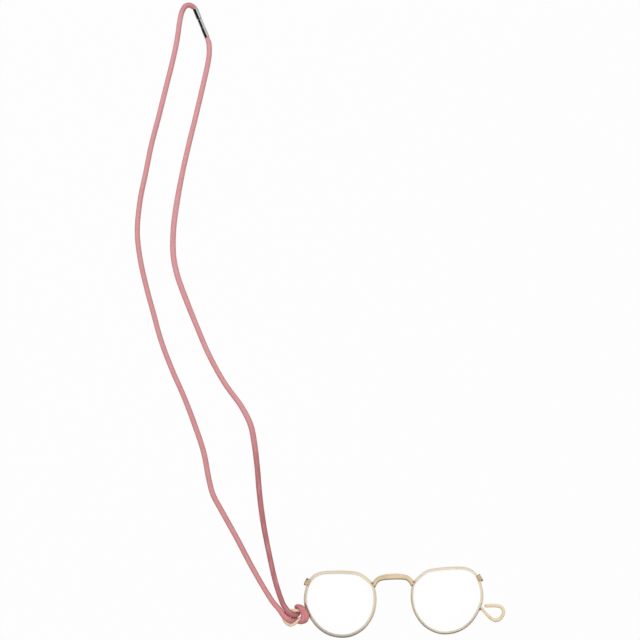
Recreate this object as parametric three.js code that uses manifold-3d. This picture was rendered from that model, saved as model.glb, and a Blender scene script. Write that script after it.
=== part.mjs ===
// Reading glasses without temples, on a neck cord. Two grooved rims hold the lenses and are shut by
// screwed blocks, a saddle bridge joins them, and each carries a bent wire loop. A round cord is hitched
// to the left loop with a lark's head, and a push-in clasp joins its two ends.
// Millimetres, +Z up. The glasses lie on the backs of their rims at z = 0, symmetric about x = 0, with
// the top of the lenses towards +Y. Left and right are as seen from above.
import * as THREE from "three";
import { mergeVertices } from "three/addons/utils/BufferGeometryUtils.js";
import Module from "manifold-3d";

const WELD = 1e-4; // vertices closer than this are one

const wasm = await Module();
wasm.setup();

// Driving dimensions of the frame
const BRAZE_GAP = 0.1; // left for the braze between two joined pieces
const EYE_CENTRE_X = 35.4; // from the middle of the bridge to the middle of a lens
const RIM_WIDTH = 1.8; // seen from the front
const RIM_DEPTH = 2.4; // front to back
const RIM_CORNER = 0.4;
const GROOVE_DEPTH = 0.5;
const GROOVE_WIDTH = 1.2;
const RIM_SPLIT = 0.4; // slit between the two ends of a rim, under its block
const SLIT_WAY = { left: 0, right: -1.2 }; // from the outline's first point: the right rim is cut lower
const RIM_STEPS = 66;
const OUTLINE_SAMPLES = 400; // points at which the rim's own box is measured

// Centreline of the right rim, from near its slit over the top to the nose and back underneath.
// The first number runs from the lens centre to the temple, the second to the top.
const RIM_OUTLINE = [
  [20.4, 15.0],
  [17.4, 18.8],
  [12.5, 21.0],
  [4.0, 21.5],
  [-5.5, 21.05],
  [-12.5, 19.85],
  [-17.6, 16.4],
  [-21.6, 12.2],
  [-23.1, 6.2],
  [-22.9, -1.3],
  [-20.3, -9.3],
  [-14.3, -16.8],
  [-6.0, -21.0],
  [2.0, -21.3],
  [9.5, -18.9],
  [15.6, -14.1],
  [20.3, -7.3],
  [22.8, -1.3],
  [23.2, 5.0],
  [22.0, 11.0],
];

const LENS_EDGE = 1.1; // thickness at the foot of the V edge
const LENS_FRONT_RISE = 2.1; // how far the front bulges above its edge
const LENS_BACK_RISE = 1.1; // how far the back is hollowed
const LENS_PLAY = 0.15; // between the V edge and the groove
const LENS_POINTS = 60;
const LENS_RINGS = 4;

const BRIDGE_DEPTH = 1.8;
const BRIDGE_BEVEL = 0.35;
const BRIDGE_FOOT_Z = 0.5; // underside of the feet
const BRIDGE_ARCH = 1.6; // how far the middle stands in front of the feet
const BRIDGE_FOOT = [6.82, 7.4]; // the feet meet the rim between these points of its outline
const BRIDGE_FOOT_POINTS = 5;
const BRIDGE_BEVEL_STEPS = 2;
const BRIDGE_CURVE_STEPS = 3;
const BRIDGE_TOP = [
  [12.9, 15.0],
  [11.5, 16.55],
  [9.6, 17.75],
  [7.4, 18.55],
  [4.0, 19.15],
];
const BRIDGE_TOP_MIDDLE = 19.3;
const BRIDGE_UNDERSIDE = [
  [3.6, 15.35],
  [6.8, 15.05],
  [8.8, 14.45],
  [10.2, 13.3],
  [10.9, 12.3],
  [11.25, 11.2],
];
const BRIDGE_UNDERSIDE_MIDDLE = 15.45;

const BLOCK_ALONG = 4.0; // both halves and the slit, along the rim
const BLOCK_ACROSS = 1.7; // out from the rim
const BLOCK_DEPTH = 3.1;
const BLOCK_LIP = { left: 1.35, right: 1.05 }; // how far a lip of the block reaches over the rim's front
const SCREW_Z = 1.4;
const SCREW_RADIUS = 0.5;
const SCREW_HEAD_RADIUS = 0.65;
const SCREW_HEAD_HEIGHT = 0.6;
const SCREW_SLOT = 0.25;
const SCREW_PLAY = 0.12;
const SCREW_SIDES = 16;

const LOOP_WIRE_SIDES = 10;
const LOOP_STEPS_PER_LEG = 3;
// Centreline of each loop's wire in the lens's frame, from its brazed foot round to its free end, then half
// its width and half its depth. The wire is pressed flatter towards the bend, and each loop is bent by hand.
const LOOP_ROUTES = {
  left: [
    [22.5, -5.95, 1.4, 0.72, 0.72],
    [24.2, -6.7, 2.9, 0.75, 0.72],
    [26.3, -7.6, 4.2, 0.8, 0.75],
    [28.4, -9.3, 4.2, 0.9, 0.75],
    [30.6, -11.1, 4.2, 1.0, 0.75],
    [33.2, -12.1, 4.2, 1.0, 0.75],
    [35.9, -10.8, 4.2, 1.0, 0.75],
    [37.4, -8.7, 4.2, 1.0, 0.75],
    [37.5, -6.3, 4.2, 1.0, 0.75],
    [35.9, -4.1, 4.2, 1.0, 0.75],
    [33.4, -2.95, 4.2, 0.95, 0.75],
    [30.0, -2.65, 4.2, 0.95, 0.75],
    [27.2, -2.6, 4.2, 0.95, 0.75],
    [24.9, -2.6, 4.2, 0.95, 0.75],
  ],
  right: [
    [22.55, -6.0, 1.4, 0.72, 0.72],
    [23.7, -7.2, 2.7, 0.75, 0.72],
    [25.6, -9.3, 4.2, 0.8, 0.75],
    [28.3, -12.0, 4.2, 0.95, 0.75],
    [30.2, -13.2, 4.2, 1.0, 0.75],
    [31.9, -13.6, 4.2, 1.0, 0.75],
    [33.8, -13.0, 4.2, 1.0, 0.75],
    [35.9, -10.8, 4.2, 1.0, 0.75],
    [36.8, -8.6, 4.2, 1.0, 0.75],
    [36.6, -6.6, 4.2, 1.0, 0.75],
    [35.3, -4.8, 4.2, 1.0, 0.75],
    [33.0, -4.0, 4.2, 1.0, 0.75],
    [29.1, -3.7, 4.2, 1.0, 0.75],
    [24.6, -3.7, 4.2, 0.95, 0.75],
  ],
};

// Driving dimensions of the cord and its clasp
const CORD_RADIUS = 1.75;
const CORD_SIDES = 10;
const CORD_GAP = 0.3; // between two stretches that follow each other
const CORD_STEPS_PER_LEG = 2;
const SWING_CENTRE = [-70.0, -4.0]; // the cord swings round the outer bend of the left loop
const SWING_RADIUS = 4.9; // where the hitch ends and the two strands begin
const SWING_MOUTH = 1.2; // half the angle of the hitch's mouth, in radians
const SWING_HEADING = 2.29; // the way the strands leave the loop, in radians from +X
const SWING_CUT_BASE = 3; // the round cut starts above the back of the hitch
const SWING_CUT_HEIGHT = 12;
const SWING_CUT_SIDES = 48;

// The hitch: in over the loop's outer bend, down through the loop, behind its upper leg, across the front
// of both legs, behind the lower leg, up through the loop and out again. The soft cord is squeezed flat where
// it is nipped: the last two numbers are half its width and half its thickness.
const HITCH_ROUTE = [
  [-73.9, 3.9, 6.2, 1.75, 1.75],
  [-72.8, 1.3, 6.7, 1.75, 1.7],
  [-71.3, -1.0, 6.9, 1.75, 1.65],
  [-69.6, -3.5, 6.8, 1.75, 1.6],
  [-67.3, -5.1, 6.0, 1.65, 1.6],
  [-65.2, -5.5, 4.4, 1.5, 1.45],
  [-64.2, -5.1, 2.7, 1.6, 1.4],
  [-63.8, -4.1, 1.65, 1.8, 1.4],
  [-63.8, -2.7, 1.45, 1.9, 1.35],
  [-63.9, -1.3, 1.65, 1.9, 1.35],
  [-64.0, -0.25, 2.7, 1.9, 1.3],
  [-63.0, 0.0, 3.9, 2.0, 1.3],
  [-61.9, -0.3, 5.4, 2.1, 1.3],
  [-60.9, -1.5, 6.4, 2.2, 1.3],
  [-60.0, -3.0, 6.6, 2.35, 1.3],
  [-59.3, -4.7, 6.55, 2.55, 1.3],
  [-58.9, -6.5, 6.4, 2.7, 1.3],
  [-59.3, -8.4, 6.2, 2.55, 1.3],
  [-60.2, -9.8, 5.5, 2.3, 1.3],
  [-61.1, -10.5, 4.2, 2.1, 1.3],
  [-61.9, -10.9, 2.7, 2.0, 1.35],
  [-62.8, -10.6, 1.5, 1.9, 1.35],
  [-63.9, -9.8, 1.45, 1.8, 1.4],
  [-64.8, -8.9, 1.95, 1.7, 1.4],
  [-66.0, -8.2, 3.1, 1.5, 1.4],
  [-68.1, -8.6, 5.3, 1.65, 1.6],
  [-70.4, -7.7, 6.7, 1.75, 1.65],
  [-72.4, -5.9, 7.0, 1.75, 1.6],
  [-74.05, -3.95, 6.95, 1.75, 1.65],
  [-75.45, -1.75, 6.6, 1.75, 1.7],
  [-77.2, 0.4, 6.0, 1.75, 1.75],
];

// The two strands lie on the table from near the loop to the clasp.
const LEFT_STRAND_ROUTE = [
  [-73.2, -4.9, 7.0],
  [-74.05, -3.95, 6.95],
  [-75.45, -1.75, 6.6],
  [-79.4, 2.8, 5.3],
  [-83.7, 9.5, 3.6],
  [-88.65, 18.1, 2.2],
  [-93.9, 28.2, 1.75],
  [-103.0, 47.0, 1.75],
  [-112.45, 65.4, 1.75],
  [-117.35, 75.5, 1.75],
  [-119.7, 85.5, 1.75],
  [-122.55, 103.5, 1.75],
  [-128.0, 122.1, 1.75],
  [-134.45, 140.8, 1.75],
  [-142.0, 159.7, 1.75],
  [-148.4, 178.6, 1.75],
  [-152.95, 197.3, 1.75],
  [-157.3, 215.9, 1.75],
  [-160.65, 234.6, 1.75],
  [-161.75, 251.2, 1.75],
  [-159.2, 271.8, 1.75],
  [-154.85, 290.1, 1.75],
  [-150.45, 308.6, 1.75],
  [-145.0, 327.0, 1.75],
  [-139.8, 345.3, 1.75],
  [-134.5, 363.9, 1.75],
  [-131.35, 376.8, 1.75],
  [-129.4, 387.9, 1.75],
];
const CORD_TOP_ROUTE = [
  [-129.3, 388.3, 1.75],
  [-128.35, 392.6, 1.75],
  [-127.3, 396.0, 1.75],
  [-126.15, 398.05, 1.75],
  [-124.85, 399.5, 1.75],
  [-123.2, 400.05, 1.75],
  [-121.45, 399.75, 1.75],
  [-119.95, 398.85, 1.8, 1.6, 1.6],
  [-118.74, 397.8, 1.85, 1.38, 1.38],
  [-118.13, 396.25, 1.85, 1.38, 1.38],
];
const RIGHT_STRAND_ROUTE = [
  [-111.9, 379.7, 1.85, 1.35, 1.35],
  [-111.35, 378.2, 1.85, 1.35, 1.35],
  [-110.85, 376.6, 1.85, 1.6, 1.6],
  [-110.35, 374.9, 1.8],
  [-110.1, 372.6, 1.75],
  [-110.2, 368.1, 1.75],
  [-111.1, 362.2, 1.75],
  [-115.6, 344.5, 1.75],
  [-120.55, 326.2, 1.75],
  [-125.75, 307.7, 1.75],
  [-130.55, 289.3, 1.75],
  [-134.6, 271.0, 1.75],
  [-137.7, 252.4, 1.75],
  [-138.4, 235.0, 1.75],
  [-136.35, 222.0, 1.75],
  [-131.2, 205.8, 1.75],
  [-124.4, 187.1, 1.75],
  [-117.1, 168.3, 1.75],
  [-107.5, 149.4, 1.75],
  [-96.4, 132.7, 1.75],
  [-91.0, 120.9, 1.75],
  [-88.9, 108.8, 1.75],
  [-87.5, 93.0, 1.75],
  [-86.5, 74.4, 1.75],
  [-84.7, 55.8, 1.75],
  [-81.8, 37.1, 1.9],
  [-78.4, 19.1, 3.2],
  [-75.9, 9.8, 4.9],
  [-73.9, 3.9, 6.2],
  [-72.8, 1.3, 6.7],
  [-71.3, -1.0, 6.95],
];

const CLASP_FOOT = [-111.3, 378.1]; // middle of the clasp's lower end
const CLASP_TURN = 0.36; // radians from +Y to the clasp's axis
const CLASP_SEGMENTS = 24;
const CLASP_CHAMFER = 0.2;
const SOCKET_RADIUS = 1.85;
const SOCKET_LENGTH = 7.6;
const SOCKET_BORE_RADIUS = 1.05;
const SOCKET_BORE_DEPTH = 4.8;
const SOCKET_SEAT_RADIUS = 1.55; // the cord's end is glued into a seat at each end of the clasp
const PLUG_SEAT_RADIUS = 1.45;
const SEAT_DEPTH = 1.8;
const PLUG_SLEEVE_RADIUS = 1.75;
const PLUG_SLEEVE_LENGTH = 7.0;
const PLUG_NECK_RADIUS = 1.6;
const PLUG_NECK_LENGTH = 6.2;
const PLUG_PIN_RADIUS = 0.9;
const PLUG_PIN_LENGTH = 4.4;
const CLASP_JOINT = 0.1; // slit that shows between socket and plug
const RING_DEPTH = 1.8; // from the socket's mouth to the spring ring
const RING_HEIGHT = 0.6;
const RING_INNER_RADIUS = 1.0;
const RING_OUTER_RADIUS = 1.4;
const RING_OPENING = 0.5; // half the angle of the ring's slit, in radians
const RING_PLAY = 0.1;

// Finishes
const gold = new THREE.MeshStandardMaterial({ color: 0xd9c7a4, roughness: 0.28, metalness: 1.0 });
const bronze = new THREE.MeshStandardMaterial({ color: 0xb59a72, roughness: 0.35, metalness: 1.0 });
const steel = new THREE.MeshStandardMaterial({ color: 0xc9cacc, roughness: 0.1, metalness: 1.0 });
const clear = new THREE.MeshStandardMaterial({
  color: 0xf2f6f6,
  roughness: 0.02,
  metalness: 0.0,
  transparent: true,
  opacity: 0.15,
});
const pinkCord = new THREE.MeshStandardMaterial({ color: 0xcc868a, roughness: 0.6, metalness: 0.0 });

function piece(name, geometry, material) {
  const mesh = new THREE.Mesh(geometry, material);
  mesh.name = name;
  return mesh;
}

function curveThrough(route, closed = false) {
  const points = route.map(([x, y, z = 0]) => new THREE.Vector3(x, y, z));
  return new THREE.CatmullRomCurve3(points, closed, "centripetal");
}

// A wire or cord with rounded section. A route's point may give half its width and half its depth there. The
// width lies level, or along spread where that is given.
function wireGeometry(route, stepsPerLeg, sides, radius, spread) {
  const curve = curveThrough(route);
  const steps = (route.length - 1) * stepsPerLeg;
  const position = [];
  const index = [];
  for (let i = 0; i <= steps; i++) {
    const at = i / stepsPerLeg;
    const before = route[Math.floor(at)];
    const after = route[Math.ceil(at)];
    const size = (k) => THREE.MathUtils.lerp(before[k] ?? radius, after[k] ?? radius, at % 1);
    const way = curve.getTangent(i / steps);
    const across = spread ? spread.clone().projectOnPlane(way) : new THREE.Vector3(0, 0, 1).cross(way);
    across.normalize();
    const deep = way.clone().cross(across);
    for (let k = 0; k < sides; k++) {
      const angle = ((k + 0.5) / sides) * 2 * Math.PI;
      const point = curve.getPoint(i / steps);
      point.addScaledVector(across, size(3) * Math.cos(angle));
      point.addScaledVector(deep, size(4) * Math.sin(angle));
      position.push(...point);
    }
  }
  for (let k = 0; k < sides; k++) {
    const next = (k + 1) % sides;
    for (let ring = 0; ring < steps * sides; ring += sides) {
      index.push(ring + k, ring + next, ring + sides + next, ring + k, ring + sides + next, ring + sides + k);
    }
  }
  const end = steps * sides;
  for (let k = 1; k < sides - 1; k++) {
    index.push(0, k + 1, k, end, end + k, end + k + 1);
  }
  return new THREE.BufferGeometry()
    .setAttribute("position", new THREE.Float32BufferAttribute(position, 3))
    .setIndex(index);
}

// A closed geometry as a solid that can be joined and cut
function solidOf(geometry) {
  const bare = geometry.clone();
  bare.deleteAttribute("normal");
  bare.deleteAttribute("uv");
  const merged = mergeVertices(bare, WELD);
  const vertProperties = new Float32Array(merged.attributes.position.array);
  const triVerts = new Uint32Array(merged.index.array);
  return new wasm.Manifold(new wasm.Mesh({ numProp: 3, vertProperties, triVerts }));
}

function geometryOf(solid) {
  const { vertProperties, triVerts } = solid.getMesh();
  return new THREE.BufferGeometry()
    .setAttribute("position", new THREE.BufferAttribute(vertProperties, 3))
    .setIndex(new THREE.BufferAttribute(triVerts, 1));
}

function cut(geometry, tool) {
  return geometryOf(solidOf(geometry).subtract(solidOf(tool)));
}

// The rim's centreline, moved so that its own box is centred on the lens centre's height
const rimCurve = curveThrough(RIM_OUTLINE, true);
const rimBox = new THREE.Box3().setFromPoints(rimCurve.getPoints(OUTLINE_SAMPLES));
const rimLift = -(rimBox.min.y + rimBox.max.y) / 2;
rimCurve.points.forEach((point) => (point.y += rimLift));
rimCurve.updateArcLengths();

// A step out from the rim, square to its tangent and away from the lens
function outFrom(tangent, outward) {
  return new THREE.Vector3(tangent.y, -tangent.x, 0).multiplyScalar(outward);
}

// A point beside the rim's centreline, where outline is a place on RIM_OUTLINE
function besideRim(outline, outward) {
  const at = (outline / RIM_OUTLINE.length) % 1;
  return rimCurve.getPoint(at).add(outFrom(rimCurve.getTangent(at), outward));
}

// The share of the whole rim at a way along it, in millimetres from the outline's first point
function shareOfRim(way) {
  return (way / rimCurve.getLength() + 1) % 1;
}

// The rim wire runs once round the lens and stops short of its slit at both ends
class RimWire extends THREE.Curve {
  constructor(slit) {
    super();
    this.slit = slit;
  }

  getPoint(t, target = new THREE.Vector3()) {
    const way = this.slit + RIM_SPLIT / 2 + t * (rimCurve.getLength() - RIM_SPLIT);
    return rimCurve.getPointAt(shareOfRim(way), target).setZ(RIM_DEPTH / 2);
  }
}

// Section of the rim wire: the first number runs to the back, the second towards the lens
function rimGeometry(side) {
  const half = RIM_WIDTH / 2;
  const deep = RIM_DEPTH / 2;
  const section = new THREE.Shape(
    [
      [-deep, half],
      [-deep, RIM_CORNER - half],
      [RIM_CORNER - deep, -half],
      [deep - RIM_CORNER, -half],
      [deep, RIM_CORNER - half],
      [deep, half],
      [GROOVE_WIDTH / 2, half],
      [0, half - GROOVE_DEPTH],
      [-GROOVE_WIDTH / 2, half],
    ].map(([back, inward]) => new THREE.Vector2(back, inward)),
  );
  return new THREE.ExtrudeGeometry(section, { extrudePath: new RimWire(SLIT_WAY[side]), steps: RIM_STEPS });
}

// Rings of the lens from the middle of its front over the V edge to the middle of its back
function lensGeometry() {
  const apex = GROOVE_DEPTH - RIM_WIDTH / 2 - LENS_PLAY;
  const foot = apex - LENS_EDGE / 2;
  const middle = RIM_DEPTH / 2;
  const rings = [];
  for (let i = 1; i <= LENS_RINGS; i++) {
    const reach = i / LENS_RINGS;
    rings.push([reach, foot, middle + LENS_EDGE / 2 + LENS_FRONT_RISE * (1 - reach ** 2)]);
  }
  rings.push([1, apex, middle]);
  for (let i = LENS_RINGS; i >= 1; i--) {
    const reach = i / LENS_RINGS;
    rings.push([reach, foot, middle - LENS_EDGE / 2 + LENS_BACK_RISE * (1 - reach ** 2)]);
  }
  const position = [0, 0, middle + LENS_EDGE / 2 + LENS_FRONT_RISE];
  for (const [reach, outward, z] of rings) {
    for (let k = 0; k < LENS_POINTS; k++) {
      const edge = besideRim((k / LENS_POINTS) * RIM_OUTLINE.length, outward);
      position.push(edge.x * reach, edge.y * reach, z);
    }
  }
  position.push(0, 0, middle - LENS_EDGE / 2 + LENS_BACK_RISE);
  const last = position.length / 3 - 1;
  const index = [];
  for (let k = 0; k < LENS_POINTS; k++) {
    const next = (k + 1) % LENS_POINTS;
    index.push(0, 1 + k, 1 + next);
    for (let ring = 0; ring < rings.length - 1; ring++) {
      const here = 1 + ring * LENS_POINTS;
      const outer = here + LENS_POINTS;
      index.push(here + k, outer + k, outer + next, here + k, outer + next, here + next);
    }
    index.push(last, last - LENS_POINTS + next, last - LENS_POINTS + k);
  }
  return new THREE.BufferGeometry()
    .setAttribute("position", new THREE.Float32BufferAttribute(position, 3))
    .setIndex(index);
}

// A closing block, in a frame of its own: x out from the rim, y along it and the screw, z to the front
const blockHalf = (BLOCK_ALONG - RIM_SPLIT) / 2;

function blockHalfGeometry(side) {
  const outer = BLOCK_ACROSS / 2;
  const lip = -outer - BLOCK_LIP[side];
  const lipBack = RIM_DEPTH + BRAZE_GAP - SCREW_Z;
  const profile = new THREE.Shape(
    [
      [-outer, -SCREW_Z],
      [outer, -SCREW_Z],
      [outer, BLOCK_DEPTH - SCREW_Z],
      [lip, BLOCK_DEPTH - SCREW_Z],
      [lip, lipBack],
      [-outer, lipBack],
    ].map(([x, z]) => new THREE.Vector2(x, -z)),
  );
  const body = new THREE.ExtrudeGeometry(profile, { depth: blockHalf, bevelEnabled: false });
  body.translate(0, 0, -blockHalf / 2).rotateX(-Math.PI / 2);
  const holeRadius = SCREW_RADIUS + SCREW_PLAY;
  const hole = new THREE.CylinderGeometry(holeRadius, holeRadius, BLOCK_ALONG, SCREW_SIDES);
  return cut(body, hole);
}

function screwGeometry() {
  const shankEnd = BLOCK_ALONG / 2;
  const headSeat = -BLOCK_ALONG / 2 - SCREW_PLAY;
  const profile = [
    [0, headSeat - SCREW_HEAD_HEIGHT],
    [SCREW_HEAD_RADIUS - SCREW_PLAY, headSeat - SCREW_HEAD_HEIGHT],
    [SCREW_HEAD_RADIUS, headSeat - SCREW_HEAD_HEIGHT + SCREW_PLAY],
    [SCREW_HEAD_RADIUS, headSeat],
    [SCREW_RADIUS, headSeat],
    [SCREW_RADIUS, shankEnd],
    [0, shankEnd],
  ].map(([x, y]) => new THREE.Vector2(x, y));
  const slot = new THREE.BoxGeometry(SCREW_SLOT, SCREW_HEAD_HEIGHT, 4 * SCREW_HEAD_RADIUS);
  slot.translate(0, headSeat - SCREW_HEAD_HEIGHT, 0);
  return cut(new THREE.LatheGeometry(profile, SCREW_SIDES), slot);
}

// One eye of the glasses, as the right one. The left one is its mirror image.
function eye(side) {
  const group = new THREE.Group();
  group.add(piece(`${side}_rim`, rimGeometry(side), gold));
  group.add(piece(`${side}_lens`, lensGeometry(), clear));

  const block = new THREE.Group();
  const slit = shareOfRim(SLIT_WAY[side]);
  const along = rimCurve.getTangentAt(slit);
  const outward = RIM_WIDTH / 2 + BRAZE_GAP + BLOCK_ACROSS / 2;
  block.position.copy(rimCurve.getPointAt(slit)).add(outFrom(along, outward)).setZ(SCREW_Z);
  block.rotation.z = Math.atan2(-along.x, along.y);
  const upper = piece(`${side}_block_upper`, blockHalfGeometry(side), bronze);
  const lower = piece(`${side}_block_lower`, blockHalfGeometry(side), bronze);
  upper.position.y = (RIM_SPLIT + blockHalf) / 2;
  lower.position.y = -upper.position.y;
  block.add(upper, lower, piece(`${side}_block_screw`, screwGeometry(), bronze));
  group.add(block);

  const loop = wireGeometry(LOOP_ROUTES[side], LOOP_STEPS_PER_LEG, LOOP_WIRE_SIDES);
  group.add(piece(`${side}_loop`, loop, gold));

  const mirror = side === "left" ? -1 : 1;
  group.scale.x = mirror;
  group.position.x = mirror * EYE_CENTRE_X;
  return group;
}

// The saddle bridge, drawn from the front and then arched forwards. Its feet follow the rims.
function bridgeGeometry() {
  const foot = Array.from({ length: BRIDGE_FOOT_POINTS }, (_, i) => {
    const outline = THREE.MathUtils.lerp(...BRIDGE_FOOT, i / (BRIDGE_FOOT_POINTS - 1));
    const edge = besideRim(outline, RIM_WIDTH / 2 + BRAZE_GAP);
    return [edge.x + EYE_CENTRE_X, edge.y];
  });
  const right = (points) => points.map(([x, y]) => new THREE.Vector2(x, y));
  const left = (points) => points.map(([x, y]) => new THREE.Vector2(-x, y)).reverse();
  const topMiddle = new THREE.Vector2(0, BRIDGE_TOP_MIDDLE);
  const underMiddle = new THREE.Vector2(0, BRIDGE_UNDERSIDE_MIDDLE);
  const [footX, footY] = foot[0];
  const leftFoot = new THREE.Vector2(-footX, footY);
  const [underEnd, ...underRest] = left(BRIDGE_UNDERSIDE);
  const shape = new THREE.Shape();
  shape.moveTo(footX, footY);
  shape.splineThru([...right(BRIDGE_TOP), topMiddle, ...left(BRIDGE_TOP), leftFoot]);
  foot.slice(1).forEach(([x, y]) => shape.lineTo(-x, y));
  shape.lineTo(underEnd.x, underEnd.y);
  shape.splineThru([...underRest, underMiddle, ...right(BRIDGE_UNDERSIDE)]);
  foot.slice(1).reverse().forEach(([x, y]) => shape.lineTo(x, y));

  const geometry = new THREE.ExtrudeGeometry(shape, {
    depth: BRIDGE_DEPTH - 2 * BRIDGE_BEVEL,
    bevelThickness: BRIDGE_BEVEL,
    bevelSize: BRIDGE_BEVEL,
    bevelOffset: -BRIDGE_BEVEL,
    bevelSegments: BRIDGE_BEVEL_STEPS,
    curveSegments: BRIDGE_CURVE_STEPS,
  });
  const position = geometry.attributes.position;
  for (let i = 0; i < position.count; i++) {
    const outward = Math.min(1, Math.abs(position.getX(i)) / footX);
    const arch = BRIDGE_ARCH * Math.cos((Math.PI / 2) * outward);
    position.setZ(i, position.getZ(i) + BRIDGE_FOOT_Z + BRIDGE_BEVEL + arch);
  }
  return geometry;
}

// The cord's stretches. The hitch and the strands part on a round face, so that the strands can swing.
function cordStretch(route, spread) {
  return wireGeometry(route, CORD_STEPS_PER_LEG, CORD_SIDES, CORD_RADIUS, spread);
}

function cord() {
  const [x, y] = SWING_CENTRE;
  const mouth = new THREE.Shape();
  mouth.absarc(x, y, 3 * SWING_RADIUS, SWING_HEADING - SWING_MOUTH, SWING_HEADING + SWING_MOUTH);
  mouth.absarc(x, y, SWING_RADIUS, SWING_HEADING + SWING_MOUTH, SWING_HEADING - SWING_MOUTH, true);
  const beyondHitch = new THREE.ExtrudeGeometry(mouth, {
    depth: SWING_CUT_HEIGHT,
    bevelEnabled: false,
    curveSegments: SWING_CUT_SIDES / 2,
  });
  beyondHitch.translate(0, 0, SWING_CUT_BASE);
  const reach = SWING_RADIUS + CORD_GAP;
  const knuckle = new THREE.CylinderGeometry(reach, reach, SWING_CUT_HEIGHT, SWING_CUT_SIDES);
  knuckle.rotateX(Math.PI / 2).translate(x, y, SWING_CUT_HEIGHT / 2);

  const alongLegs = new THREE.Vector3(1, 0, 0); // the cord spreads along the loop's legs
  const hitch = cut(cordStretch(HITCH_ROUTE, alongLegs), beyondHitch);
  const left = cut(cordStretch(LEFT_STRAND_ROUTE), knuckle);
  const right = cut(cordStretch(RIGHT_STRAND_ROUTE), knuckle);
  const group = new THREE.Group();
  group.add(piece("cord_hitch", hitch, pinkCord));
  group.add(piece("left_strand", left, pinkCord));
  group.add(piece("right_strand", right, pinkCord));
  group.add(piece("cord_top", cordStretch(CORD_TOP_ROUTE), pinkCord));
  return group;
}

// The clasp along +Y from the plug's end of the cord: sleeve, neck and pin, then the socket over the pin
function clasp() {
  const lathe = (profile) =>
    new THREE.LatheGeometry(
      profile.map(([x, y]) => new THREE.Vector2(x, y)),
      CLASP_SEGMENTS,
    );
  const neckEnd = PLUG_SLEEVE_LENGTH + PLUG_NECK_LENGTH;
  const pinEnd = neckEnd + PLUG_PIN_LENGTH;
  const plug = lathe([
    [0, SEAT_DEPTH],
    [PLUG_SEAT_RADIUS, SEAT_DEPTH],
    [PLUG_SEAT_RADIUS, 0],
    [PLUG_SLEEVE_RADIUS - CLASP_CHAMFER / 2, 0],
    [PLUG_SLEEVE_RADIUS, CLASP_CHAMFER / 2],
    [PLUG_SLEEVE_RADIUS, PLUG_SLEEVE_LENGTH - CLASP_CHAMFER],
    [PLUG_NECK_RADIUS, PLUG_SLEEVE_LENGTH],
    [PLUG_NECK_RADIUS, neckEnd],
    [PLUG_PIN_RADIUS, neckEnd],
    [PLUG_PIN_RADIUS, pinEnd - PLUG_PIN_RADIUS / 2],
    [PLUG_PIN_RADIUS / 2, pinEnd],
    [0, pinEnd],
  ]);

  const mouth = neckEnd + CLASP_JOINT;
  const socketEnd = mouth + SOCKET_LENGTH;
  const ringSeat = mouth + RING_DEPTH;
  const seatRadius = RING_OUTER_RADIUS + RING_PLAY;
  const socket = lathe([
    [0, mouth + SOCKET_BORE_DEPTH],
    [SOCKET_BORE_RADIUS, mouth + SOCKET_BORE_DEPTH],
    [SOCKET_BORE_RADIUS, ringSeat + RING_HEIGHT + RING_PLAY],
    [seatRadius, ringSeat + RING_HEIGHT + RING_PLAY],
    [seatRadius, ringSeat - RING_PLAY],
    [SOCKET_BORE_RADIUS, ringSeat - RING_PLAY],
    [SOCKET_BORE_RADIUS, mouth],
    [SOCKET_RADIUS, mouth],
    [SOCKET_RADIUS, socketEnd - CLASP_CHAMFER / 2],
    [SOCKET_RADIUS - CLASP_CHAMFER / 2, socketEnd],
    [SOCKET_SEAT_RADIUS, socketEnd],
    [SOCKET_SEAT_RADIUS, socketEnd - SEAT_DEPTH],
    [0, socketEnd - SEAT_DEPTH],
  ]);

  const split = new THREE.Shape();
  split.absarc(0, 0, RING_OUTER_RADIUS, RING_OPENING, 2 * Math.PI - RING_OPENING);
  split.absarc(0, 0, RING_INNER_RADIUS, 2 * Math.PI - RING_OPENING, RING_OPENING, true);
  const ring = new THREE.ExtrudeGeometry(split, { depth: RING_HEIGHT, bevelEnabled: false });
  ring.rotateX(-Math.PI / 2).translate(0, ringSeat, 0);

  const group = new THREE.Group();
  group.position.set(...CLASP_FOOT, SOCKET_RADIUS);
  group.rotation.z = CLASP_TURN;
  group.add(piece("clasp_plug", plug, steel));
  group.add(piece("clasp_socket", socket, steel));
  group.add(piece("clasp_ring", ring, steel));
  return group;
}

const glasses = new THREE.Group();
glasses.add(eye("left"), eye("right"), piece("bridge", bridgeGeometry(), gold), cord(), clasp());

export default glasses;
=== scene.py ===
import math

import bmesh
import bpy
from mathutils import Matrix, Vector
from mathutils.geometry import interpolate_bezier
from mathutils.kdtree import KDTree


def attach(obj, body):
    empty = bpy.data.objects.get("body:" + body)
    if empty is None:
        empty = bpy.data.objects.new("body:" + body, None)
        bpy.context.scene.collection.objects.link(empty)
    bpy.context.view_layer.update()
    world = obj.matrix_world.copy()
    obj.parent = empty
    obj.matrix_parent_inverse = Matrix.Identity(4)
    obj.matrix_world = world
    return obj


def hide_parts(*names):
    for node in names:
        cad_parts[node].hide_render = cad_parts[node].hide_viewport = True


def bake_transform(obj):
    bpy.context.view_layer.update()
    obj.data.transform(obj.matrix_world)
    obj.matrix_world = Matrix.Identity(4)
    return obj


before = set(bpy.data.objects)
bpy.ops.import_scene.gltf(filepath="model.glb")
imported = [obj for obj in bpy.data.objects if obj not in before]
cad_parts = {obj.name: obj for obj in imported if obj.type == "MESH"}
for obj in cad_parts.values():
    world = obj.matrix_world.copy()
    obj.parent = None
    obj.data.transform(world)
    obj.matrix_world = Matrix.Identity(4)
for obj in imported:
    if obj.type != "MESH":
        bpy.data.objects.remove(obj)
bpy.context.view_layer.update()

# Camera: straight above, through a long lens. The glasses lie turned a little in the picture, so the
# camera is turned instead and the glasses stay square to their own axes.
MM = 0.001
VIEW_WIDTH = 424.6 * MM
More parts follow.
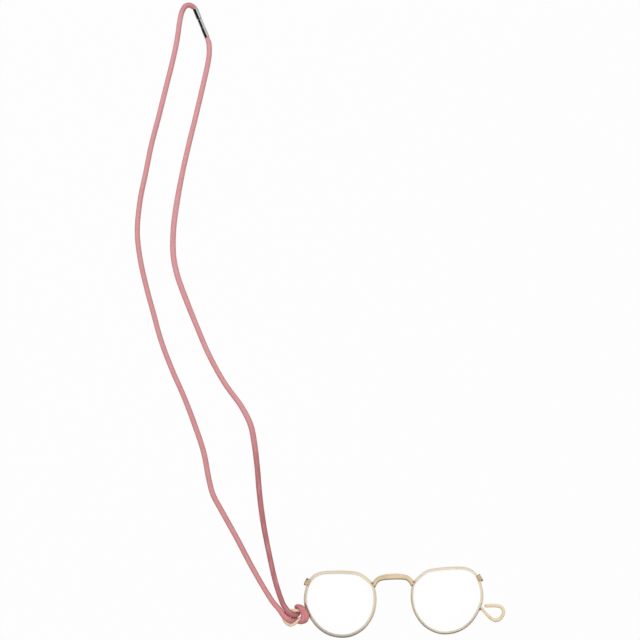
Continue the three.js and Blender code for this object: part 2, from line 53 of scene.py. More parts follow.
VIEW_CENTRE = Vector((-42.7, 188.7, 0.0)) * MM
VIEW_TURN = math.radians(-1.88)
VIEW_LENS = 100.0
VIEW_SENSOR = 36.0

camera_data = bpy.data.cameras.new("camera")
camera_data.lens = VIEW_LENS
camera_data.sensor_width = VIEW_SENSOR
camera = bpy.data.objects.new("camera", camera_data)
camera.location = VIEW_CENTRE + Vector((0.0, 0.0, VIEW_WIDTH * VIEW_LENS / VIEW_SENSOR))
camera.rotation_euler.z = VIEW_TURN
bpy.context.collection.objects.link(camera)
bpy.context.scene.camera = camera


# Rims: each is one length of pale gold D-shaped wire, drawn with a groove in its flat inner side for the lens
# and bent to a crown-panto shape. Its two ends stop at a slit, which the closing block pulls shut.
# The left wire reaches a little further in. Sizes are in millimetres, as on a workshop drawing.
EYE_CENTRE = 35.4
RIM_WIDTH = 1.8
RIM_WIDER = {"left": 0.3, "right": 0.0}
RIM_DEPTH = 2.4
RIM_ROUND_STEPS = 16
GROOVE_DEPTH = 0.5
GROOVE_WIDTH = 1.2
RIM_SLIT = 0.4
SLIT_AT = {"left": (20.4, 15.0), "right": (20.93, 13.92)}
RIM_SPACING = 0.6
RIM_OUTLINE = [
    (20.4, 15.0),
    (17.4, 18.8),
    (12.5, 21.0),
    (4.0, 21.5),
    (-5.5, 21.05),
    (-12.5, 19.85),
    (-17.6, 16.4),
    (-21.6, 12.2),
    (-23.1, 6.2),
    (-22.9, -1.3),
    (-20.3, -9.3),
    (-14.3, -16.8),
    (-6.0, -21.0),
    (2.0, -21.3),
    (9.5, -18.9),
    (15.6, -14.1),
    (20.3, -7.3),
    (22.8, -1.3),
    (23.2, 5.0),
    (22.0, 11.0),
]
LEG_POINTS = 24
CREASE = math.radians(30)
WELD = 1e-4
UP = Vector((0.0, 0.0, 1.0))
SIDES = {"left": Matrix.Scale(-1.0, 4, (1.0, 0.0, 0.0)), "right": Matrix.Identity(4)}


def spaced(points, spacing, margin=0.0):
    """The same line again, with points an even way apart and a margin left off both ends."""
    lengths = [(after - before).length for before, after in zip(points, points[1:])]
    whole = sum(lengths) - 2 * margin
    count = max(2, round(whole / spacing))
    found, leg, passed = [], 0, 0.0
    for k in range(count + 1):
        goal = margin + whole * k / count
        while leg < len(lengths) - 1 and passed + lengths[leg] < goal:
            passed += lengths[leg]
            leg += 1
        found.append(points[leg].lerp(points[leg + 1], (goal - passed) / lengths[leg]))
    return found


def smooth_line(corners, closed=False):
    """A fine line through all corners, without overshoot where they lie close together."""
    corners = [Vector(corner).to_3d() for corner in corners]
    if closed:
        padded = [corners[-1], *corners, corners[0], corners[1]]
    else:
        padded = [2 * corners[0] - corners[1], *corners, 2 * corners[-1] - corners[-2]]
    line = []
    for before, start, end, after in zip(padded, padded[1:], padded[2:], padded[3:]):
        a = (start - before).length ** 0.5
        b = (end - start).length ** 0.5
        c = (after - end).length ** 0.5
        leaving = ((start - before) / a - (end - before) / (a + b) + (end - start) / b) * b / 3
        arriving = ((end - start) / b - (after - start) / (b + c) + (after - end) / c) * b / 3
        line += interpolate_bezier(start, start + leaving, end - arriving, end, LEG_POINTS)[:-1]
    return [*line, padded[-2]]


def frames_along(points):
    """A matrix at each point: x to the left of the way, y up and z along it, with no twist."""
    ways = [(after - before).normalized() for before, after in zip(points, points[1:])]
    inner = [(before + after).normalized() for before, after in zip(ways, ways[1:])]
    tangents = [ways[0], *inner, ways[-1]]
    left = UP.cross(tangents[0]).normalized()
    frames = []
    for k, (point, tangent) in enumerate(zip(points, tangents)):
        if k:
            left = tangents[k - 1].rotation_difference(tangent) @ left
        turn = Matrix((left, tangent.cross(left), tangent)).transposed()
        frames.append(Matrix.Translation(point) @ turn.to_4x4())
    return frames


def closed_ring(mesh, points):
    """A closed ring of edges through points."""
    verts = [mesh.verts.new(point) for point in points]
    return [mesh.edges.new(pair) for pair in zip(verts, verts[1:] + verts[:1])]


def ring_points(ring):
    """The vertices of a ring of edges."""
    return list({vert for edge in ring for vert in edge.verts})


def drawn_out(mesh, ring):
    """Extrudes a ring of edges in place and gives the new ring."""
    made = bmesh.ops.extrude_edge_only(mesh, edges=ring)["geom"]
    fresh = {part for part in made if isinstance(part, bmesh.types.BMVert)}
    return [part for part in made if isinstance(part, bmesh.types.BMEdge) and set(part.verts) <= fresh]


def swept(mesh, ring, frames):
    """Carries a ring, drawn in the xy plane, through all frames and closes both ends. Each vertex keeps
    its place in the section and its way along, as the attribute lie."""
    lie = mesh.verts.layers.float_vector.get("lie") or mesh.verts.layers.float_vector.new("lie")
    bmesh.ops.edgeloop_fill(mesh, edges=ring)
    way = 0.0
    before = None
    for place in frames:
        move = place
        if before:
            way += (place.translation - before.translation).length
            move = place @ before.inverted()
            ring = drawn_out(mesh, ring)
        verts = ring_points(ring)
        bmesh.ops.transform(mesh, matrix=move, verts=verts)
        home = place.inverted()
        for vert in verts:
            section = home @ vert.co
            vert[lie] = (section.x, section.y, way)
        before = place
    bmesh.ops.edgeloop_fill(mesh, edges=ring)


def show(mesh, name, finish, body=None, stands_for=()):
    """Ends a piece: joins and shades its faces, brings it from millimetres to metres and hangs it up."""
    bmesh.ops.remove_doubles(mesh, verts=mesh.verts, dist=WELD)
    bmesh.ops.recalc_face_normals(mesh, faces=mesh.faces)
    for face in mesh.faces:
        face.smooth = True
    for edge in mesh.edges:
        edge.smooth = edge.calc_face_angle(0.0) < CREASE
    bmesh.ops.scale(mesh, vec=(MM, MM, MM), verts=mesh.verts)
    data = bpy.data.meshes.new(name)
    mesh.to_mesh(data)
    mesh.free()
    data.materials.append(finish)
    piece = bpy.data.objects.new(name, data)
    bpy.context.collection.objects.link(piece)
    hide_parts(*stands_for)
    if body:
        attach(piece, body)
    return piece


class Shade:
    """A socket of a material. Sums and products of it add Math nodes."""

    def __init__(self, tree, socket=None):
        self.tree = tree
        self.socket = socket

    def node(self, kind, settings=None, inputs=None, output=0):
        """Adds a node of that kind, sets it up, feeds its sockets and gives one of its outputs."""
        made = self.tree.nodes.new("ShaderNode" + kind)
        for name, value in (settings or {}).items():
            if name == "stops":
                while len(made.color_ramp.elements) < len(value):
                    made.color_ramp.elements.new(1.0)
                for stop, (place, colour) in zip(made.color_ramp.elements, value):
                    stop.position = place
                    stop.color = (*colour, 1.0)
            else:
                setattr(made, name, value)
        for key, value in (inputs or {}).items():
            if isinstance(value, Shade):
                self.tree.links.new(value.socket, made.inputs[key])
            else:
                made.inputs[key].default_value = value
        return Shade(self.tree, made.outputs[output] if len(made.outputs) else None)

    def math(self, operation, *values):
        """One Math node, fed with the values in order."""
        return self.node("Math", {"operation": operation}, dict(enumerate(values)))

    def ramp(self, low, high, to_low=0.0, to_high=1.0):
        """Goes smoothly from to_low to to_high as this value goes from low to high."""
        values = dict(enumerate((self, low, high, to_low, to_high)))
        return self.node("MapRange", {"interpolation_type": "SMOOTHSTEP"}, values)

    def tint(self, colour, other):
        """The one colour where this value is 0 and the other where it is 1."""
        return self.node("Mix", {"data_type": "RGBA"}, {0: self, 6: colour, 7: other}, 2)

    def __add__(self, other):
        return self.math("ADD", self, other)

    def __radd__(self, other):
        return self.math("ADD", other, self)

    def __sub__(self, other):
        return self.math("SUBTRACT", self, other)

    def __rsub__(self, other):
        return self.math("SUBTRACT", other, self)

    def __mul__(self, other):
        return self.math("MULTIPLY", self, other)

    def __rmul__(self, other):
        return self.math("MULTIPLY", other, self)


def new_finish(name):
    """An empty material, and the start of its nodes."""
    finish = bpy.data.materials.new(name)
    finish.use_nodes = True
    finish.node_tree.nodes.clear()
    return finish, Shade(finish.node_tree)


def end_finish(start, **inputs):
    """Closes a material with a Principled shader. Words of a socket's name are joined by _ here."""
    named = {key.replace("_", " "): value for key, value in inputs.items()}
    start.node("OutputMaterial", inputs={"Surface": start.node("BsdfPrincipled", inputs=named)})


# Where the torch has browned the frame: both ends of the bridge's foot, and the loop's foot. Each has its
# place on the right half, which the left half shares, how far it reaches, how strong it is and its tone.
BRAZED = [
    ((13.7, 13.4, 2.4), 1.6, 0.75, (0.42, 0.2, 0.11, 1.0)),
    ((11.8, 10.9, 2.0), 1.4, 0.75, (0.16, 0.1, 0.05, 1.0)),
    ((57.2, -6.4, 1.5), 1.7, 1.0, (0.04, 0.025, 0.01, 1.0)),
]
# Where the left half gets painted shade: from the left edge to the nose, and ever less from the bottom to the
# top.
RIM_SHADE_FROM = (-60.0 * MM, -52.0 * MM)
RIM_SHADE_TO = (-30.0 * MM, -15.0 * MM)
RIM_SHADE_UP = (-16.0 * MM, 2.0 * MM)
RIM_SHADE_AT_TOP = 0.25
# The part of a bar, from its middle at 0 to its lower edge at -1, that gets painted shade.
UNDER_SHADE_EDGE = (-0.75, -0.25)
UNDER_SHADE_STRENGTH = 0.65


def plated(name, pale, deep, roughness, painted_shade=None, under=None):
    """Satin plating: clouded in tone, finely grained, browned by the torch where pieces are brazed. A greyed
    tone is painted shade over the left half, most of all along the bottom. An under tone is painted
    shade along the lower edge of a bar."""
    finish, start = new_finish(name)
    place = start.node("TexCoord", output="Object")
    cloud = start.node("TexNoise", inputs={"Vector": place, "Scale": 140.0, "Detail": 3.0})
    grain = start.node("TexNoise", inputs={"Vector": place, "Scale": 4200.0, "Detail": 2.0})
    edge = start.node("NewGeometry", output="Pointiness").ramp(0.5, 0.6)
    colour = (cloud.ramp(0.35, 0.68) - 0.6 * edge).tint(pale, deep)
    axes = [start.node("SeparateXYZ", inputs={0: place}, output=k) for k in range(3)]
    outwards = axes[0].math("ABSOLUTE", axes[0])
    folded = start.node("CombineXYZ", inputs={0: outwards, 1: axes[1], 2: axes[2]})
    # Painted shade: the left half greyed and darkened, most of all along the bottom.
    if painted_shade:
        left = axes[0].ramp(*RIM_SHADE_TO, 1.0, 0.0) * axes[0].ramp(*RIM_SHADE_FROM)
        colour = (left * axes[1].ramp(*RIM_SHADE_UP, 1.0, RIM_SHADE_AT_TOP)).tint(colour, painted_shade)
    # Painted shade along the lower edge of a bar.
    if under:
        lie = start.node("Attribute", {"attribute_name": "lie"}, output="Vector")
        across = start.node("SeparateXYZ", inputs={0: lie}, output=0)
        colour = across.ramp(*UNDER_SHADE_EDGE, UNDER_SHADE_STRENGTH, 0.0).tint(colour, under)
    for spot, reach, strength, brown in BRAZED:
        joint = Vector(spot) * MM
        away = start.node("VectorMath", {"operation": "DISTANCE"}, {0: folded, 1: joint}, "Value")
        heat = away.ramp(0.3 * reach * MM, reach * MM, strength, 0.0)
        colour = (heat * cloud.ramp(0.3, 0.6, 0.75, 1.0)).tint(colour, brown)
    bump = start.node("Bump", inputs={"Strength": 0.04, "Distance": 0.02 * MM, "Height": grain})
    end_finish(
        start,
        Base_Color=colour,
        Metallic=1.0,
        Roughness=roughness + 0.05 * grain.ramp(0.3, 0.7) - 0.06 * edge,
        Normal=bump,
    )
    return finish


RIM_PALE = (0.93, 0.82, 0.66, 1.0)
RIM_DEEP = (0.88, 0.75, 0.57, 1.0)
# The greyed tone is painted shade on the left rim, darkest along its bottom.
RIM_PAINTED_SHADE = (0.72, 0.635, 0.53, 1.0)
RIM_ROUGHNESS = 0.42
rim_finish = plated("pale_gold_plating", RIM_PALE, RIM_DEEP, RIM_ROUGHNESS, RIM_PAINTED_SHADE)

outline = smooth_line(RIM_OUTLINE, closed=True)
heights = [point.y for point in outline]
lift = Vector((0.0, -(min(heights) + max(heights)) / 2, RIM_DEPTH / 2))
outline = [point + lift for point in outline]


def nearest(points, spot):
    """The number of the point that lies nearest to a spot."""
    return min(range(len(points)), key=lambda k: (points[k] - spot).length)


def line_from_slit(side):
    """The rim's outline once round, from the slit of its own side."""
    start = nearest(outline, Vector(SLIT_AT[side]).to_3d() + lift)
    return outline[start:-1] + outline[: start + 1]


def rim_mesh(side):
    """A rim about the middle of its lens. In the section, x runs to the lens and y to the front."""
    width = RIM_WIDTH + RIM_WIDER[side]
    inner = width - RIM_WIDTH / 2
    section = []
    for k in range(RIM_ROUND_STEPS + 1):
        turn = math.pi * (0.5 - k / RIM_ROUND_STEPS)
        section.append((inner - width * math.cos(turn), RIM_DEPTH / 2 * math.sin(turn), 0.0))
    section.append((inner, -GROOVE_WIDTH / 2, 0.0))
    section.append((RIM_WIDTH / 2 - GROOVE_DEPTH, 0.0, 0.0))
    section.append((inner, GROOVE_WIDTH / 2, 0.0))
    mesh = bmesh.new()
    ring = closed_ring(mesh, section)
    swept(mesh, ring, frames_along(spaced(line_from_slit(side), RIM_SPACING, RIM_SLIT / 2)))
    return mesh


def set_at_eye(mesh, side):
    """Moves a mesh from the middle of the right lens to its own side of the glasses."""
    place = SIDES[side] @ Matrix.Translation((EYE_CENTRE, 0.0, 0.0))
    bmesh.ops.transform(mesh, matrix=place, verts=mesh.verts)
    return mesh


for side in SIDES:
    rim = set_at_eye(rim_mesh(side), side)
    show(rim, f"{side}_rim_wire", rim_finish, "glasses", [f"{side}_rim"])


# Lenses: clear meniscus reading lenses, ground to a V all round their edge. The V sits in the rim's
# groove and is held there when the rim is screwed shut.
LENS_EDGE = 1.1
LENS_PLAY = 0.15
LENS_FRONT_RISE = 2.1
LENS_BACK_RISE = 1.1
LENS_RINGS = 14
LENS_COOL = (0.93, 0.97, 0.97, 1.0)
LENS_WARM = (0.97, 0.97, 0.95, 1.0)
LENS_IOR = 1.5


def lens_mesh():
    """The right lens about its middle: the V edge, then rings that close in over the front and the back."""
    apex = RIM_WIDTH / 2 - GROOVE_DEPTH + LENS_PLAY
    foot = apex + LENS_EDGE / 2
    frames = frames_along(spaced(outline, RIM_SPACING))[:-1]
    mesh = bmesh.new()
    front, edge, back = (
        closed_ring(mesh, [place @ Vector((inward, up, 0.0)) for place in frames])
        for inward, up in ((foot, LENS_EDGE / 2), (apex, 0.0), (foot, -LENS_EDGE / 2))
    )
    bmesh.ops.bridge_loops(mesh, edges=front + edge)
    bmesh.ops.bridge_loops(mesh, edges=edge + back)
    for ring, rise in ((front, LENS_FRONT_RISE), (back, LENS_BACK_RISE)):
        for k in range(LENS_RINGS, 1, -1):
            closer = (k - 1) / k
            ring = drawn_out(mesh, ring)
            verts = ring_points(ring)
            bmesh.ops.scale(mesh, vec=(closer, closer, 1.0), verts=verts)
            climb = rise * (k**2 - (k - 1) ** 2) / LENS_RINGS**2
            bmesh.ops.translate(mesh, vec=(0.0, 0.0, climb), verts=verts)
        middle = bmesh.ops.edgeloop_fill(mesh, edges=ring)["faces"]
        bmesh.ops.poke(mesh, faces=middle)
    return mesh


def lens_glass():
    """Clear glass with a thin coat that shows more as the surface turns away."""
    finish, start = new_finish("clear_lens_glass")
    place = start.node("TexCoord", output="Object")
    film = start.node("TexNoise", inputs={"Vector": place, "Scale": 60.0, "Detail": 2.0})
    turned = start.node("LayerWeight", inputs={"Blend": 0.35}, output="Facing")
    end_finish(
        start,
        Base_Color=film.ramp(0.3, 0.7).tint(LENS_COOL, LENS_WARM),
        Roughness=0.02 + 0.03 * film,
        Alpha=0.05 + 0.45 * turned * turned,
        IOR=LENS_IOR,
    )
    return finish


lens_finish = lens_glass()
for side in SIDES:
    lens = set_at_eye(lens_mesh(), side)
    show(lens, f"{side}_lens_glass", lens_finish, "glasses", [f"{side}_lens"])


# Closing blocks: two small bronze-gold halves brazed to the ends of each rim wire, each with a lip over the
# rim's front. A slotted screw goes through both and pulls the slit shut, so that the rim grips its lens.
# The right rim was cut a little lower than the left one.
BLOCK_ALONG = 4.0
BLOCK_SLIT = 0.14
BLOCK_ROUNDING = 0.34
BLOCK_ROUND_STEPS = 4
BLOCK_BACK = {"left": -2.7, "right": -2.5}
BLOCK_INNER = -0.35
BLOCK_LIP = {"left": 0.35, "right": 0.05}
BLOCK_FLOOR = -1.2
BLOCK_STEP = 1.22
BLOCK_TOP = 1.9
BLOCK_SIDE_TONE = (0.19, 0.12, 0.05, 1.0)
BLOCK_FRONT_TONE = (0.79, 0.58, 0.38, 1.0)
SCREW_AT = (-1.75, 0.2, 0.0)
SCREW_RADIUS = 0.5
SCREW_HEAD_RADIUS = 0.65
SCREW_HEAD_HEIGHT = 0.6
SCREW_SLOT = 0.25
SCREW_PLAY = 0.12
SCREW_SEGMENTS = 32


def darker_sided_bronze():
    """Pinkish bronze on the front face, going darker brown down the sides."""
    finish, start = new_finish("darker_sided_bronze_block")
    place = start.node("TexCoord", output="Object")
    height = start.node("SeparateXYZ", inputs={0: place}, output=2)
    cloud = start.node("TexNoise", inputs={"Vector": place, "Scale": 520.0, "Detail": 2.0})
    front_share = (height + 2.4 * MM * (cloud - 0.5)).ramp(2.55 * MM, 3.2 * MM)
    end_finish(
        start,
        Base_Color=front_share.tint(BLOCK_SIDE_TONE, BLOCK_FRONT_TONE),
        Metallic=1.0,
        Roughness=0.38 + 0.15 * cloud,
    )
    return finish


block_finish = darker_sided_bronze()


def slit_frame(side):
    """The frame at a rim's slit: x to the lens, y to the front and z along the rim."""
    line = line_from_slit(side)
    return frames_along([line[-2], line[0], line[1]])[1]


def block_mesh(side, end):
    """One half of a block: end is 1 above the slit and -1 below it. Its face at the slit stays sharp."""
    profile = [
        (BLOCK_INNER, BLOCK_FLOOR),
        (BLOCK_INNER, BLOCK_STEP),
        (BLOCK_LIP[side], BLOCK_STEP),
        (BLOCK_LIP[side], BLOCK_TOP),
        (BLOCK_BACK[side], BLOCK_TOP),
        (BLOCK_BACK[side], BLOCK_FLOOR),
    ]
    mesh = bmesh.new()
    near = closed_ring(mesh, [(x, y, BLOCK_SLIT / 2) for x, y in profile])
    bmesh.ops.edgeloop_fill(mesh, edges=near)
    far = drawn_out(mesh, near)
    bmesh.ops.translate(mesh, vec=(0.0, 0.0, (BLOCK_ALONG - BLOCK_SLIT) / 2), verts=ring_points(far))
    bmesh.ops.edgeloop_fill(mesh, edges=far)
    bmesh.ops.recalc_face_normals(mesh, faces=mesh.faces)
    rounded = [edge for edge in mesh.edges if edge not in near]
    bmesh.ops.bevel(mesh, geom=rounded, offset=BLOCK_ROUNDING, affect="EDGES",
                    segments=BLOCK_ROUND_STEPS, profile=0.5, material=-1, clamp_overlap=True)
    bmesh.ops.scale(mesh, vec=(1.0, 1.0, end), verts=mesh.verts)
    bmesh.ops.transform(mesh, matrix=slit_frame(side), verts=mesh.verts)
    return mesh


def round_ring(mesh, radius, segments):
    """A circle of edges in the xy plane."""
    known = set(mesh.edges)
    bmesh.ops.create_circle(mesh, radius=radius, segments=segments)
    return [edge for edge in mesh.edges if edge not in known]


def screw_mesh(side):
    """The screw along z: head below the lower half, slot across it, shank through both halves."""
    mesh = bmesh.new()
    seat = -BLOCK_ALONG / 2 - SCREW_PLAY
    bmesh.ops.create_circle(mesh, cap_ends=True, radius=SCREW_HEAD_RADIUS, segments=SCREW_SEGMENTS)
    for edge in (-SCREW_SLOT / 2, SCREW_SLOT / 2):
        bmesh.ops.bisect_plane(mesh, geom=mesh.verts[:] + mesh.edges[:] + mesh.faces[:],
                               plane_co=(edge, 0.0, 0.0), plane_no=(1.0, 0.0, 0.0))
    bmesh.ops.translate(mesh, vec=(0.0, 0.0, seat - SCREW_HEAD_HEIGHT), verts=mesh.verts)
    strip = min(mesh.faces, key=lambda face: abs(face.calc_center_median().x))
    border = [edge for edge in mesh.edges if edge.is_boundary]
    border = drawn_out(mesh, border)
    bmesh.ops.translate(mesh, vec=(0.0, 0.0, SCREW_HEAD_HEIGHT), verts=ring_points(border))
    bmesh.ops.edgeloop_fill(mesh, edges=border)
    pushed = bmesh.ops.extrude_discrete_faces(mesh, faces=[strip])["faces"]
    bmesh.ops.translate(mesh, vec=(0.0, 0.0, SCREW_HEAD_HEIGHT / 2), verts=pushed[0].verts)
    shank = round_ring(mesh, SCREW_RADIUS, SCREW_SEGMENTS)
    bmesh.ops.translate(mesh, vec=(0.0, 0.0, seat), verts=ring_points(shank))
    shank = drawn_out(mesh, shank)
    bmesh.ops.translate(mesh, vec=(0.0, 0.0, BLOCK_ALONG + SCREW_PLAY), verts=ring_points(shank))
    bmesh.ops.edgeloop_fill(mesh, edges=shank)
    bmesh.ops.transform(mesh, matrix=slit_frame(side) @ Matrix.Translation(SCREW_AT), verts=mesh.verts)
    return mesh


for side in SIDES:
    for half_name, end in (("upper", 1.0), ("lower", -1.0)):
        half_block = set_at_eye(block_mesh(side, end), side)
        node = f"{side}_block_{half_name}"
        show(half_block, f"{node}_half", block_finish, "glasses", [node])
    screw = set_at_eye(screw_mesh(side), side)
    show(screw, f"{side}_slotted_screw", block_finish, "glasses", [f"{side}_block_screw"])


# Bridge: a solid saddle bar of yellower gold, pressed to an arch that stands in front of the rims, then
# brazed to both of them by its feet.
BRIDGE_TOP = [
    (14.0, 12.6),
    (13.6, 13.9),
    (12.9, 15.0),
    (11.5, 16.55),
    (9.6, 17.75),
    (7.4, 18.55),
    (4.0, 19.15),
    (0.0, 19.3),
]
BRIDGE_UNDERSIDE = [
    (11.7, 10.6),
    (11.35, 11.4),
    (10.95, 12.4),
    (10.2, 13.3),
    (8.8, 14.45),
    (6.8, 15.05),
    (3.6, 15.35),
    (0.0, 15.45),
]
BRIDGE_STEPS = 84
BRIDGE_DEPTH = 1.8
BRIDGE_FOOT_Z = 1.4
BRIDGE_ARCH = 1.6
BRIDGE_ROUNDING = 0.62
BRIDGE_ROUND_STEPS = 6
BRIDGE_PALE = (0.86, 0.7, 0.48, 1.0)
BRIDGE_DEEP = (0.81, 0.64, 0.42, 1.0)
# The under tone is painted shade along the bridge's lower edge.
BRIDGE_UNDER_SHADE = (0.5, 0.39, 0.25, 1.0)
BRIDGE_ROUGHNESS = 0.34


def rounded_square(mesh, rounding, segments):
    """A closed ring of edges round a square of half a width of 1, with its corners rounded."""
    corners = [mesh.verts.new((x, y, 0.0)) for x, y in ((1, 1), (-1, 1), (-1, -1), (1, -1))]
    mesh.faces.new(corners)
    bmesh.ops.bevel(mesh, geom=corners, offset=rounding, affect="VERTICES",
                    segments=segments, profile=0.5, material=-1)
    bmesh.ops.delete(mesh, geom=mesh.faces[:], context="FACES_ONLY")
    return mesh.edges[:]


def mirrored_line(right_half):
    """A line over both halves, from the right foot to the left one, in as many steps as the bridge has."""
    left_half = [(-x, y) for x, y in reversed(right_half[:-1])]
    line = smooth_line([*right_half, *left_half])
    length = sum((after - before).length for before, after in zip(line, line[1:]))
    return spaced(line, length / BRIDGE_STEPS)


def bridge_frames():
    """At each step the section spans from the underside to the top, and the bar's depth."""
    foot_x = BRIDGE_TOP[0][0]
    frames = []
    for top, under in zip(mirrored_line(BRIDGE_TOP), mirrored_line(BRIDGE_UNDERSIDE)):
        middle = (top + under) / 2
        arch = BRIDGE_ARCH * math.cos(math.pi / 2 * min(1.0, abs(middle.x) / foot_x))
        across = (top - under) / 2
        depth = UP * BRIDGE_DEPTH / 2
        turn = Matrix((across, depth, across.cross(depth).normalized())).transposed()
        frames.append(Matrix.Translation(middle + UP * (BRIDGE_FOOT_Z + arch)) @ turn.to_4x4())
    return frames


bridge_finish = plated(
    "yellow_gold_bridge",
    BRIDGE_PALE,
    BRIDGE_DEEP,
    BRIDGE_ROUGHNESS,
    under=BRIDGE_UNDER_SHADE,
)
bridge = bmesh.new()
swept(bridge, rounded_square(bridge, BRIDGE_ROUNDING, BRIDGE_ROUND_STEPS), bridge_frames())
show(bridge, "saddle_bridge", bridge_finish, "glasses", ["bridge"])


# Loops: a bent teardrop of gold wire at each outer lower rim, pressed a little flat towards its bend. The
# lower leg is brazed to the rim, and the upper leg ends free beside it, so that a cord can be slipped on.
# Each was bent by hand, so the two differ. The last two sizes are half the wire's width and depth.
LOOP_PALE = (0.99, 0.86, 0.61, 1.0)
LOOP_DEEP = (0.99, 0.78, 0.55, 1.0)
LOOP_ROUGHNESS = 0.48
LOOP_ROUNDING = 0.55
LOOP_ROUND_STEPS = 5
LOOP_SPACING = 0.4
LOOP_END_STEPS = 5
LOOP_ROUTES = {
    "left": [
        (22.0, -5.7, 1.1, 0.85, 0.85),
        (22.5, -5.95, 1.4, 0.78, 0.78),
        (24.2, -6.7, 2.9, 0.75, 0.72),
        (26.3, -7.6, 4.2, 0.92, 0.75),
        (28.4, -9.3, 4.2, 1.02, 0.75),
        (30.6, -11.1, 4.2, 1.12, 0.75),
        (33.2, -12.1, 4.2, 1.12, 0.75),
        (35.9, -10.8, 4.2, 1.12, 0.75),
        (37.4, -8.7, 4.2, 1.12, 0.75),
        (37.5, -6.3, 4.2, 1.12, 0.75),
        (35.9, -4.1, 4.2, 1.12, 0.75),
        (33.4, -2.95, 4.2, 1.08, 0.75),
        (30.0, -2.65, 4.2, 1.08, 0.75),
        (27.2, -2.6, 4.2, 1.08, 0.75),
        (25.5, -2.6, 4.2, 1.08, 0.75),
    ],
    "right": [
        (21.6, -5.0, 1.1, 1.2, 0.8),
        (22.5, -5.9, 1.4, 1.12, 0.8),
        (23.7, -7.15, 2.7, 0.85, 0.72),
        (25.6, -9.3, 4.2, 0.92, 0.75),
        (28.3, -12.0, 4.2, 1.08, 0.75),
        (30.2, -13.2, 4.2, 1.12, 0.75),
        (31.9, -13.6, 4.2, 1.12, 0.75),
        (33.8, -13.0, 4.2, 1.12, 0.75),
        (35.9, -10.8, 4.2, 1.12, 0.75),
        (36.8, -8.6, 4.2, 1.12, 0.75),
        (36.6, -6.6, 4.2, 1.12, 0.75),
        (35.3, -4.8, 4.2, 1.12, 0.75),
        (33.0, -4.0, 4.2, 1.12, 0.75),
        (29.1, -3.7, 4.2, 1.12, 0.75),
        (25.2, -3.7, 4.2, 1.08, 0.75),
    ],
}


def sizes_along(points, corners, plain):
    """Half the width and half the depth at each point, led evenly from corner to corner of its route."""
    marks = [nearest(points, Vector(corner[:3])) for corner in corners]
    sizes = []
    for k in range(len(points)):
        leg = max(i for i, mark in enumerate(marks[:-1]) if mark <= k or i == 0)
        share = min(1.0, (k - marks[leg]) / max(1, marks[leg + 1] - marks[leg]))
        ends = [Vector(corner[3:] or (plain, plain)) for corner in corners[leg : leg + 2]]
        sizes.append(ends[0].lerp(ends[1], share))
    return sizes


def rounded_end(last, reach):
    """Frames that follow the last one and close a wire with a dome."""
    dome = []
    for k in range(1, LOOP_END_STEPS + 1):
        turn = math.pi / 2 * k / (LOOP_END_STEPS + 0.5)
        size = math.cos(turn)
        forth = Matrix.Translation((0.0, 0.0, reach * math.sin(turn)))
        dome.append(last @ forth @ Matrix.Diagonal((size, size, 1.0, 1.0)))
    return dome


def loop_mesh(corners):
    """A loop about the middle of its lens, with its width lying level all the way."""
    points = spaced(smooth_line([corner[:3] for corner in corners]), LOOP_SPACING)
    frames = []
    for place, (wide, deep) in zip(frames_along(points), sizes_along(points, corners, 1.0)):
        way = place.col[2].to_3d()
        level = UP.cross(way).normalized()
        turn = Matrix((level * wide, way.cross(level) * deep, way)).transposed()
        frames.append(Matrix.Translation(place.translation) @ turn.to_4x4())
    mesh = bmesh.new()
    frames += rounded_end(frames[-1], corners[-1][3])
    swept(mesh, rounded_square(mesh, LOOP_ROUNDING, LOOP_ROUND_STEPS), frames)
    return mesh


loop_finish = plated("gold_wire", LOOP_PALE, LOOP_DEEP, LOOP_ROUGHNESS)
for side, corners in LOOP_ROUTES.items():
    wire = set_at_eye(loop_mesh(corners), side)
    show(wire, f"{side}_wire_loop", loop_finish, "glasses", [f"{side}_loop"])


# Cord: one round pink leather cord, 3.5 mm thick. It is folded in half and hitched to the left loop with a
# lark's head, squeezed flat where the knot nips it, and its two strands lie on the table up to the clasp.
# The stretch over the top is a piece of its own.
CORD_RADIUS = 1.75
CORD_SEGMENTS = 20
CORD_SPACING = 0.8
# How far the painted shade in the knot reaches, and how many steps of the route beside a point are left out.
KNOT_SHADE_REACH = 3.1
KNOT_SHADE_SKIP = 12
CORD_TONES_AND_SHADE = [
    (0.0, (0.614, 0.267, 0.276)),
    (0.3, (0.595, 0.25, 0.265)),
    (0.345, (0.375, 0.105, 0.112)),
    (0.46, (0.355, 0.095, 0.102)),
    (0.49, (0.61, 0.19, 0.202)),
    (0.54, (0.54, 0.218, 0.223)),
    # From here to the end the tone darkens: painted shade in the bend just before the socket.
    (0.981, (0.612, 0.267, 0.281)),
    (0.993, (0.44, 0.145, 0.155)),
]
FIBRE_TONE = (0.7, 0.36, 0.36, 1.0)
PORE_TONE = (0.4, 0.15, 0.16, 1.0)
